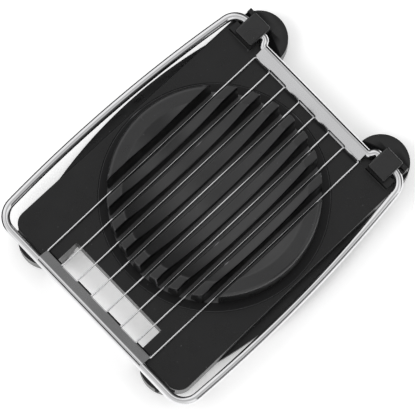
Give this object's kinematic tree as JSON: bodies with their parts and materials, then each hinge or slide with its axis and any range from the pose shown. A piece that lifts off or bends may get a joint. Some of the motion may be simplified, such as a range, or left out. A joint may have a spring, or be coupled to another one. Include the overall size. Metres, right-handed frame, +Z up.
{
  "type": "egg slicer",
  "caption": "Table-top egg slicer: ribbed round dish on a black plastic base, with a hinged steel frame of parallel cutting wires.",
  "frame": {"origin": "middle of the footprint, on the table", "axes": "+X from the frame's free end to its hinge, +Z up"},
  "size_m": [0.1212, 0.0966, 0.027],
  "materials": {
    "base_plastic": "fine satin moulding",
    "cradle_plastic": "fine satin moulding",
    "cap_plastic": "fine satin moulding",
    "foot_rubber": "dull rubber",
    "rod_steel": "polished stainless steel",
    "strip_steel": "polished stainless sheet",
    "wire_steel": "drawn stainless wire"
  },
  "bodies": {
    "base": {"base_shell": "base_plastic", "egg_cradle": "cradle_plastic", "foot_front_left": "foot_rubber", "foot_front_right": "foot_rubber", "foot_rear_left": "foot_rubber", "foot_rear_right": "foot_rubber", "hinge_cap_left": "cap_plastic", "hinge_cap_right": "cap_plastic"},
    "cutting_frame": {"frame_rod": "rod_steel", "front_wire_strip": "strip_steel", "rear_wire_strip": "strip_steel", "cutting_wire_1": "wire_steel", "cutting_wire_2": "wire_steel", "cutting_wire_3": "wire_steel", "cutting_wire_4": "wire_steel", "cutting_wire_5": "wire_steel", "cutting_wire_6": "wire_steel", "cutting_wire_7": "wire_steel", "cutting_wire_8": "wire_steel"}
  },
  "joints": [
    {"name": "frame_hinge", "type": "hinge", "parent": "base", "child": "cutting_frame", "pos_m": [0.0506, 0, 0.017], "axis": [0, 1, 0], "range_deg": [0, 110]}
  ]
}
